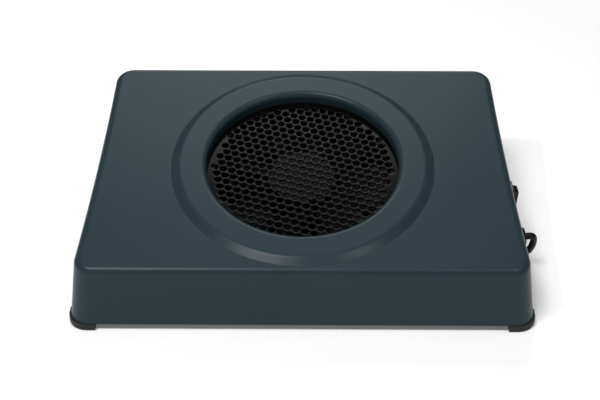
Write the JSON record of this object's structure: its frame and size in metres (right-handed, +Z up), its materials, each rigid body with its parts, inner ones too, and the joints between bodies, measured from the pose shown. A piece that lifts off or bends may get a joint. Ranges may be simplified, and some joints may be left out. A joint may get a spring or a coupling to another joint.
{
  "type": "nail dust collector",
  "caption": "Low table-top dust collector: sloping slate-grey casing, raised round intake ring over a black perforated grille and fan, side rocker switch and cord, slide-out rear filter.",
  "frame": {"origin": "on the table under the middle of the machine, the cord left out of account", "axes": "+Z up, +Y towards the rear wall with the filter, +X towards the side wall with the switch and the cord"},
  "size_m": [0.2988, 0.2698, 0.0875],
  "materials": {
    "casing_plastic": "fine satin grain, slate grey",
    "base_plastic": "matt black",
    "foot_rubber": "matt black rubber",
    "screw_steel": "zinc plated",
    "grille_lacquer": "gloss black",
    "black_plastic": "satin black",
    "cassette_plastic": "fine satin grain, slate grey",
    "switch_plastic": "semi-gloss black",
    "cord_sheath": "satin black sheath",
    "bare_metal": "bright nickel plate",
    "copper_winding": "enamelled copper",
    "magnet_ferrite": "dark ferrite",
    "board_laminate": "green laminate",
    "filter_fleece": "off-white fleece"
  },
  "bodies": {
    "housing": {"base_plate": "base_plastic", "base_screws": "screw_steel", "bushing_nut": "black_plastic", "cord_bushing": "black_plastic", "cord_coil": "cord_sheath", "cord_tie": "cord_sheath", "fan_bearings": "bare_metal", "fan_frame": "black_plastic", "fan_gasket": "foot_rubber", "fan_leads": "cord_sheath", "fan_screws": "screw_steel", "foot_front_left": "foot_rubber", "foot_front_right": "foot_rubber", "foot_rear_left": "foot_rubber", "foot_rear_right": "foot_rubber", "foot_screws": "screw_steel", "grille_retainer": "black_plastic", "intake_grille": "grille_lacquer", "motor_board": "board_laminate", "motor_coils": "copper_winding", "plug_pins": "bare_metal", "power_cord": "cord_sheath", "power_plug": "black_plastic", "retainer_screws": "screw_steel", "supply_lead": "cord_sheath", "switch_body": "switch_plastic", "switch_leads": "cord_sheath", "switch_terminals": "bare_metal", "terminal_block": "base_plastic", "top_casing": "casing_plastic"},
    "rotor": {"fan_rotor": "black_plastic", "rotor_magnet": "magnet_ferrite", "fan_shaft": "bare_metal"},
    "rocker": {"switch_rocker": "switch_plastic"},
    "cassette": {"filter_cassette": "cassette_plastic", "filter_pad": "filter_fleece", "filter_clip": "black_plastic"}
  },
  "joints": [
    {"name": "fan_spin", "type": "hinge", "parent": "housing", "child": "rotor", "pos_m": [0, -0.00367, 0.06982], "axis": [0, -0.225, 0.9744], "continuous": true},
    {"name": "rocker_tilt", "type": "hinge", "parent": "housing", "child": "rocker", "pos_m": [0.13654, -0.00738, 0.04311], "axis": [-0.0306, 0.9995, 0], "range_deg": [-20, 0]},
    {"name": "filter_slide", "type": "slide", "parent": "housing", "child": "cassette", "axis": [0, 1, 0], "range_m": [0, 0.05]}
  ]
}
